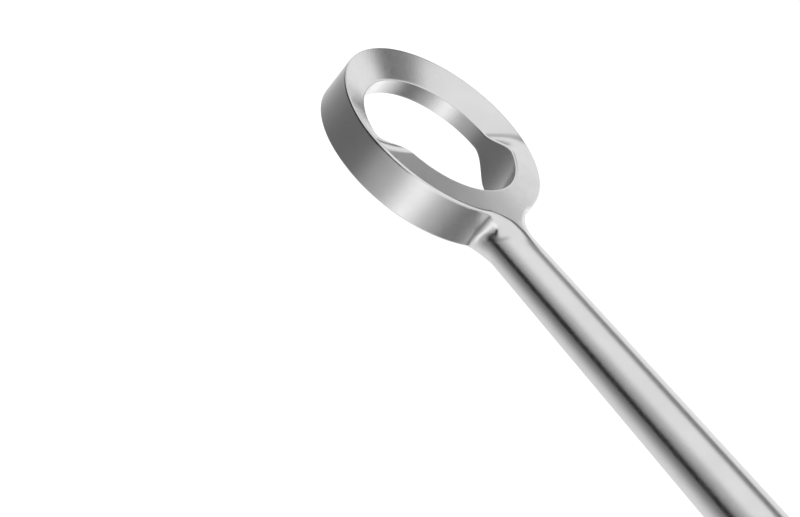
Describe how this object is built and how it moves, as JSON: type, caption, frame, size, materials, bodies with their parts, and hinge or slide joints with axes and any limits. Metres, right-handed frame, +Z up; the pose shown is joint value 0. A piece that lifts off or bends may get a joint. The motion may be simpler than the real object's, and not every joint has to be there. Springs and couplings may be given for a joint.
{
  "type": "inoculating loop",
  "caption": "Rigid steel loop with a thick bevelled eye on a tapered shank, held by a collet chuck on a rod with a heat-insulating grip.",
  "frame": {"origin": "on the bench, midway along the tool and on its centre line", "axes": "+X along the tool from the eye to the end nut, +Z up out of the bench"},
  "size_m": [0.235, 0.0116, 0.01],
  "materials": {
    "steel": "satin polished stainless steel",
    "spring_steel": "ground spring steel",
    "nickel_plate": "nickel-plated brass",
    "phenolic": "moulded black phenolic, semi-matt",
    "silicone": "red-brown silicone rubber",
    "ptfe": "white PTFE",
    "code_colour": "blue heat-resistant plastic"
  },
  "bodies": {
    "handle": {"rod": "steel", "chuck_body": "nickel_plate", "chuck_pin": "spring_steel", "front_ferrule": "nickel_plate", "ferrule_pin": "spring_steel", "front_seal": "silicone", "grip": "phenolic", "code_ring": "code_colour", "front_bush": "ptfe", "rear_bush": "ptfe", "rear_seal": "silicone"},
    "collet": {"collet": "spring_steel"},
    "chuck_nut": {"chuck_nut": "nickel_plate"},
    "loop": {"loop": "steel"},
    "spring_washer": {"spring_washer": "spring_steel"},
    "end_nut": {"end_nut": "nickel_plate"}
  },
  "joints": [
    {"name": "collet_travel", "type": "slide", "parent": "handle", "child": "collet", "axis": [-1, 0, 0], "range_m": [0, 0.0105]},
    {"name": "nut_turn", "type": "hinge", "parent": "collet", "child": "chuck_nut", "pos_m": [-0.06, 0, 0.005], "axis": [-1, 0, 0], "range_deg": [0, 5040]},
    {"name": "loop_slide", "type": "slide", "parent": "collet", "child": "loop", "axis": [-1, 0, 0], "range_m": [0, 0.022]},
    {"name": "washer_travel", "type": "slide", "parent": "handle", "child": "spring_washer", "axis": [1, 0, 0], "range_m": [0, 0.0056]},
    {"name": "end_nut_turn", "type": "hinge", "parent": "spring_washer", "child": "end_nut", "pos_m": [0.112, 0, 0.005], "axis": [1, 0, 0], "range_deg": [0, 2880]}
  ],
  "couplings": [
    {"joint": "nut_turn", "follows": "collet_travel", "rad_per_m": 8377.6},
    {"joint": "end_nut_turn", "follows": "washer_travel", "rad_per_m": 8976}
  ]
}
